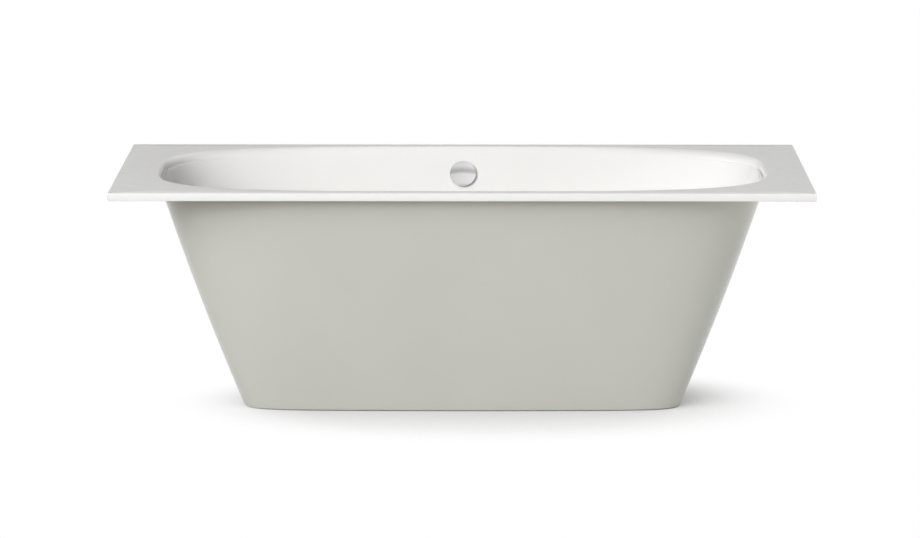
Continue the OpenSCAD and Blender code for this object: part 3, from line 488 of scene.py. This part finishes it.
# Rounding of the rim's outer edge, at its top when dirUp is 1 and under it when dirUp is -1
def rimCorner(halfLength, halfWidth, z, dirUp):
    radius, steps = bath["edgeRadius"], bath["cornerSteps"]
    rings = []
    for i in range(steps + 1):
        turn = pi / 2 * i / steps
        out, up = (sin(turn), cos(turn)) if dirUp > 0 else (cos(turn), sin(turn))
        grow = radius * out - radius
        rings.append(rectangleRing(halfLength + grow, halfWidth + grow, z + dirUp * (radius * up - radius)))
    return rings


def makeShell():
    halfLength, halfWidth, wall = bath["rimLength"] / 2, bath["rimWidth"] / 2, bath["thickness"]
    inner = skinRings(0.0, bath["innerSteps"])
    outer = skinRings(wall, bath["outerSteps"])
    recessZ = drainZ - bath["recessDepth"]
    rings = [circleRing(bath["wasteHole"], recessZ), circleRing(bath["recessRadius"], recessZ),
             circleRing(bath["recessRadius"], drainZ), circleRing(bath["drainRadius"], drainZ)]
    rings += ringsBetween(rings[-1], inner[0], [i / bath["fallSteps"] for i in range(1, bath["fallSteps"])])
    rings += inner
    rings += ringsBetween(inner[-1], rectangleRing(halfLength, halfWidth, rimTop), bath["rimShares"])
    rings += rimCorner(halfLength, halfWidth, rimTop, 1)
    rings += rimCorner(halfLength, halfWidth, underZ, -1)
    rings += [rectangleRing(halfLength - wall, halfWidth - wall, z) for z in (underZ, rimTop - wall)]
    rings += reversed(outer[1:])
    rings.append([Vector((bath["underFloor"] * p.x, bath["underFloor"] * p.y, baseZ)) for p in outer[1]])
    rings.append(circleRing(bath["wasteHole"], baseZ))
    shell = loft("bathShell", rings)
    reach = overflow["holeReach"]
    profile = [(0, -reach), (overflow["hole"], -reach), (overflow["hole"], reach), (0, reach)]
    cutAway(shell, turned("overflowCutter", profile, overflowPlace, overflow["holeSegments"],
                          outline["sharpAngle"]))
    return shell


bathShell = makeShell()
dress(bathShell, "sanitary_acrylic", "bath", "bath_shell")
print("bath shell made")


# Outer skirt, tucked up behind the rim, with a flange turned in at its foot. Open fault: in the middle of
# both ends its top comes through the basin's wall, by up to 5 mm under the lip, and shows there.

skirt = {
    "topLength": 0.789, "topWidth": 0.367,     # half sizes under the rim
    "taperEnd": 0.217, "taperSide": 0.095,
    "topSquareness": 4.4, "footSquareness": 10,
    "bulge": 0.12,           # bulge of the slope, 0 is straight
    "bow": 0.04,             # bow of the long sides at the foot
    "thickness": 0.004, "gap": 0.001, "tuck": 0.004,
    "edgeRadius": 0.0035, "flangeWidth": 0.0355, "flangeTop": 0.005,
    "heightSteps": 28, "edgeSteps": 8,
}


def skirtRing(z, inset):
    part = min(1.0, (z - skirt["gap"]) / (underZ - skirt["gap"]))
    rise = part + skirt["bulge"] * part * (1 - part)
    halfLength = skirt["topLength"] - skirt["taperEnd"] * (1 - rise)
    halfWidth = skirt["topWidth"] - skirt["taperSide"] * (1 - rise)
    foot, top = 1 / skirt["footSquareness"], 1 / skirt["topSquareness"]
    squareness = 1 / (foot + (top - foot) * rise)
    return ovalRing(halfLength - inset, halfWidth - inset, squareness, z, skirt["bow"] * (1 - part))


def skirtEdge(turn):
    radius = skirt["edgeRadius"]
    return skirtRing(skirt["gap"] + radius * (1 - cos(turn)), radius * (1 - sin(turn)))


def skirtFlat(z, inset):
    return [Vector((p.x, p.y, z)) for p in skirtRing(skirt["gap"], inset)]


def makeSkirt():
    low, high = skirt["gap"] + skirt["edgeRadius"], underZ
    wall, top = skirt["thickness"], underZ + skirt["tuck"]
    slant = wall * sqrt(1 + (skirt["taperSide"] / (underZ - skirt["gap"])) ** 2)
    lip = skirt["edgeRadius"] + skirt["flangeWidth"]
    steps, edgeSteps = skirt["heightSteps"], skirt["edgeSteps"]
    levels = [low + (high - low) * i / steps for i in range(steps + 1)]
    rings = [skirtFlat(skirt["gap"], lip)]
    rings += [skirtEdge(pi / 2 * i / edgeSteps) for i in range(edgeSteps)]
    rings += [skirtRing(z, 0) for z in levels]
    rings += [skirtRing(top, 0), skirtRing(top, wall)]
    rings += [skirtRing(z, slant) for z in reversed(levels[1:])]
    rings += [skirtRing(skirt["flangeTop"], slant), skirtFlat(skirt["flangeTop"], lip)]
    return loft("outerSkirt", rings)


outerSkirt = makeSkirt()
dress(outerSkirt, "skirt_lacquer", "bath", "outer_skirt")
print("skirt made")


# Turn knob, a hollow cap with a soft rim and a shallow dome, over a hub for the spindle

knob = {
    "radius": 0.0355, "gap": 0.0035, "domeFrom": 0.0082, "out": 0.0137, "wall": 0.0020,
    "hubRadius": 0.007, "boreRadius": 0.00405, "boreTop": 0.01155,
    "rimRounding": 0.0012, "rimDrop": 0.95,    # share of that rounding by which its centre lies lower
    "footRounding": 0.0005,
    "domeSteps": 24, "innerSteps": 8, "segments": 160, "sharpAngle": 40,
}


def makeKnob():
    edge, soft, foot, gap = knob["radius"], knob["rimRounding"], knob["footRounding"], knob["gap"]
    profile = [(0, knob["out"])]
    for i in range(1, knob["domeSteps"] + 1):
        radius = (edge - soft) * i / knob["domeSteps"]
        profile.append((radius, domeHeight(radius, edge, knob["domeFrom"], knob["out"])))
    rimZ = domeHeight(edge - soft, edge, knob["domeFrom"], knob["out"]) - soft * knob["rimDrop"]
    profile += arcPoints((edge - soft, rimZ), soft, start=65, end=0, steps=5)
    profile += arcPoints((edge - foot, gap + foot), foot, start=0, end=-90, steps=3)
    inside, innerFrom, innerTop = (knob[name] - knob["wall"] for name in ("radius", "domeFrom", "out"))
    profile += [(inside, gap), (inside, innerFrom)]
    for i in range(1, knob["innerSteps"] + 1):
        radius = inside - (inside - knob["hubRadius"]) * i / knob["innerSteps"]
        profile.append((radius, domeHeight(radius, inside, innerFrom, innerTop)))
    profile += [(knob["hubRadius"], gap), (knob["boreRadius"], gap),
                (knob["boreRadius"], knob["boreTop"]), (0, knob["boreTop"])]
    return turned("turnKnob", profile, overflowPlace, knob["segments"], knob["sharpAngle"])


turnKnob = makeKnob()
dress(turnKnob, "polished_chrome", "knob", "overflow_knob")


# Plug cap, a thin domed disc on a boss

plug = {
    "radius": 0.033, "bottom": 0.0008, "rimHeight": 0.0014, "domeHeight": 0.0034,
    "rimRounding": 0.0006,
    "roundingHeight": 0.0008,    # centre of that rounding above the bottom
    "bottomInset": 0.0008,       # how far in from the edge the flat bottom starts
    "bossRadius": 0.020, "bossDepth": 0.005, "boreRadius": 0.00305, "boreDeep": 0.0007,
    "domeSteps": 20, "segments": 128, "sharpAngle": 40,
}


def makePlug():
    base, edge, soft = plug["bottom"], plug["radius"], plug["rimRounding"]
    rim, top = base + plug["rimHeight"], base + plug["domeHeight"]
    profile = [(0, top)]
    for i in range(1, plug["domeSteps"] + 1):
        radius = (edge - soft) * i / plug["domeSteps"]
        profile.append((radius, domeHeight(radius, edge, rim, top)))
    profile += arcPoints((edge - soft, base + plug["roundingHeight"]), soft, start=60, end=-60, steps=6)
    profile += [(edge - plug["bottomInset"], base), (plug["bossRadius"], base),
                (plug["bossRadius"], -plug["bossDepth"]), (plug["boreRadius"], -plug["bossDepth"]),
                (plug["boreRadius"], -plug["boreDeep"]), (0, -plug["boreDeep"])]
    place = Matrix.Translation((0, 0, drainZ))
    return turned("plugCap", profile, place, plug["segments"], plug["sharpAngle"])


plugCap = makePlug()
dress(plugCap, "polished_chrome", "plug", "plug_cap")
print("knob and plug made")


# Camera, fitted to the rim's corners and the skirt's outline in the photograph

shot = {"place": (0.03667, -10.4833, 2.3122), "pitch": 10.736, "yaw": 0.2357,
        "lens": 157.71, "sensor": 36, "farthest": 100}
camera = bpy.data.objects.new("camera", bpy.data.cameras.new("camera"))
camera.data.lens = shot["lens"]
camera.data.sensor_width = shot["sensor"]
camera.data.clip_end = shot["farthest"]
camera.location = shot["place"]
camera.rotation_euler = (radians(90 - shot["pitch"]), 0, radians(shot["yaw"]))
bpy.context.scene.collection.objects.link(camera)
bpy.context.scene.camera = camera


# Floor: real floor with the bath's shadow in an oval round it, plain white beyond. Seen or mirrored, it
# glows, and near the bath that glow carries painted shade, dimmed as the light of an even sky would be.

floorLook = {
    "size": 60,
    "albedo": 0.40, "albedoSeen": 0.28,        # for the light that it gives back, and as it looks
    # the glow, and how far round the bath its painted shade reaches
    "glow": 1.07, "paintedShadeReach": 1.0,
    "middle": (0.08, -0.2),  # where the shade is centred
    "oval": (1.38, 2.4),     # how fast the distance from there grows along and across the bath
    "near": 0.65, "far": 1.2,                  # the floor fades into plain white between these distances
}


def makeFloor():
    half = floorLook["size"] / 2
    corners = [(-half, -half, 0), (half, -half, 0), (half, half, 0), (-half, half, 0)]
    mesh = bpy.data.meshes.new("studioFloor")
    mesh.from_pydata(corners, [], [(0, 1, 2, 3)])
    floor = bpy.data.objects.new("studioFloor", mesh)
    bpy.context.scene.collection.objects.link(floor)
    material = bpy.data.materials.new("floorPaper")
    material.use_nodes = True
    tree = material.node_tree
    tree.nodes.clear()
    path = addNode(tree, "ShaderNodeLightPath", {}).outputs
    seen = mathNode(tree, "MAXIMUM", path["Is Camera Ray"], path["Is Glossy Ray"])
    seen = mathNode(tree, "MAXIMUM", seen, path["Is Transmission Ray"])

    less = mathNode(tree, "MULTIPLY", seen, floorLook["albedo"] - floorLook["albedoSeen"])
    albedo = mathNode(tree, "SUBTRACT", floorLook["albedo"], less)
    lit = addNode(tree, "ShaderNodeBsdfDiffuse", {"Color": albedo})
    # painted shade: ambient occlusion darkens the glow where the bath hides the sky
    openSky = addNode(tree, "ShaderNodeAmbientOcclusion", {"Distance": floorLook["paintedShadeReach"]})
    glowWithPaintedShade = mathNode(tree, "MULTIPLY", openSky.outputs["AO"], floorLook["glow"])
    glow = addNode(tree, "ShaderNodeEmission", {"Strength": mathNode(tree, "MULTIPLY", glowWithPaintedShade, seen)})
    shaded = addNode(tree, "ShaderNodeAddShader", {0: lit.outputs[0], 1: glow.outputs[0]})

    place = addNode(tree, "ShaderNodeNewGeometry", {}).outputs["Position"]
    place = vectorNode(tree, "SUBTRACT", place, (*floorLook["middle"], 0))["Vector"]
    place = vectorNode(tree, "MULTIPLY", place, (*floorLook["oval"], 0))["Vector"]
    away = vectorNode(tree, "LENGTH", place)["Value"]
    spread = {"Value": away, "From Min": floorLook["near"], "From Max": floorLook["far"]}
    fade = addNode(tree, "ShaderNodeMapRange", spread, interpolation_type="SMOOTHSTEP").outputs["Result"]
    share = mathNode(tree, "MULTIPLY", fade, seen)
    white = addNode(tree, "ShaderNodeEmission", {})
    mix = addNode(tree, "ShaderNodeMixShader", {"Fac": share, 1: shaded.outputs[0], 2: white.outputs[0]})
    addNode(tree, "ShaderNodeOutputMaterial", {"Surface": mix.outputs[0]})
    mesh.materials.append(material)


makeFloor()


# World: white behind the bath, and a plain fill. Mirrored, it is a white studio with one darker gap
# between the boxes in front and the ceiling, and a darker low part at the back.

worldLook = {
    "white": 1.0, "fill": 0.04,
    # how bright it mirrors, by the height above a line that runs left to right
    "mirroredFront": ((0.0, 0.90), (0.60, 0.90), (0.68, 0.54), (0.74, 0.54), (0.88, 0.92), (1.0, 0.70)),
    "mirroredBack": ((0.27, 0.57), (0.36, 0.90), (0.60, 0.90), (0.68, 0.54), (0.74, 0.54), (0.88, 0.92),
                     (1.0, 0.70)),
    "leastReach": 0.05,      # keeps that height defined straight to the left and right
    # how much brighter it mirrors towards the right, in front and at the back, and the most that adds
    "rightwardFront": 0.2, "rightwardBack": 2.2, "mostRightward": 0.3,
}


def levelRamp(tree, height, levels):
    return rampNode(tree, height, [(place, (level, level, level)) for place, level in levels])


def makeWorld():
    world = bpy.data.worlds.new("studioWorld")
    bpy.context.scene.world = world
    world.use_nodes = True
    tree = world.node_tree
    path = addNode(tree, "ShaderNodeLightPath", {}).outputs
    place = addNode(tree, "ShaderNodeTexCoord", {}).outputs["Generated"]
    direction = addNode(tree, "ShaderNodeSeparateXYZ", {0: place}).outputs
    along, across, up = direction["X"], direction["Y"], direction["Z"]

    squares = [mathNode(tree, "MULTIPLY", value, value) for value in (across, up)]
    reach = mathNode(tree, "SQRT", mathNode(tree, "ADD", *squares))
    height = mathNode(tree, "DIVIDE", up, mathNode(tree, "MAXIMUM", reach, worldLook["leastReach"]))
    behind = mathNode(tree, "GREATER_THAN", across, 0.0)
    levels = mixNode(tree, behind, levelRamp(tree, height, worldLook["mirroredFront"]),
                     levelRamp(tree, height, worldLook["mirroredBack"]))

    most = worldLook["mostRightward"]
    slope = mathNode(tree, "MULTIPLY", behind, worldLook["rightwardBack"] - worldLook["rightwardFront"])
    slope = mathNode(tree, "ADD", slope, worldLook["rightwardFront"])
    slant = mathNode(tree, "MINIMUM", mathNode(tree, "MULTIPLY", along, slope), most)
    slant = mathNode(tree, "ADD", mathNode(tree, "MAXIMUM", slant, -most), 1.0)

    mirrored = mathNode(tree, "MULTIPLY", levels, slant)
    unseen = mixNode(tree, path["Is Glossy Ray"], worldLook["fill"], mirrored)
    seen = mathNode(tree, "MAXIMUM", path["Is Camera Ray"], path["Is Transmission Ray"])
    background = tree.nodes["Background"]
    background.inputs["Color"].default_value = (1, 1, 1, 1)
    tree.links.new(mixNode(tree, seen, unseen, worldLook["white"]), background.inputs["Strength"])


makeWorld()


# Lamps, all large, soft and far off: most stand in front to the left. The four low ones stand under the
# rim's height, so they light the skirt and not the basin.

aim = (0, 0, 0.3)            # every lamp faces the middle of the bath
lamps = {
    "mainLamp": {"place": (-5.17, -8.95, 4.06), "size": (9.0, 4.0), "power": 500},
    "upperLamp": {"place": (-5.17, -7.38, 6.61), "size": (9.0, 5.0), "power": 450},
    "highLamp": {"place": (-4.92, -4.13, 7.96), "size": (7.0, 5.0), "power": 235},
    "topLamp": {"place": (0, -4.5, 8.09), "size": (6.0, 4.0), "power": 80},
    "backHighLamp": {"place": (0, 9.06, 4.53), "size": (6.0, 3.0), "power": 200},
    "lowFrontLamp": {"place": (3.9, -3.2, 0.45), "size": (3.0, 0.7), "power": 42},
    "lowRightLamp": {"place": (9.0, 0.9, 0.45), "size": (6.0, 0.7), "power": 160},
    "lowLeftLamp": {"place": (-9.0, 0.9, 0.45), "size": (6.0, 0.7), "power": 40},
    "lowBackLamp": {"place": (0, 9.0, 0.45), "size": (8.0, 0.7), "power": 460},
}


def makeLamp(name, lamp):
    light = bpy.data.lights.new(name, "AREA")
    light.shape = "RECTANGLE"
    light.size, light.size_y = lamp["size"]
    light.energy = lamp["power"]
    holder = bpy.data.objects.new(name, light)
    holder.location = lamp["place"]
    holder.visible_glossy = False    # the world stands for the lamps in what chrome mirrors
    holder.rotation_euler = (Vector(aim) - Vector(lamp["place"])).to_track_quat("-Z", "Y").to_euler()
    bpy.context.scene.collection.objects.link(holder)


for lampName, lamp in lamps.items():
    makeLamp(lampName, lamp)
bpy.context.scene.view_settings.view_transform = "Standard"
print("camera, floor and lamps made")
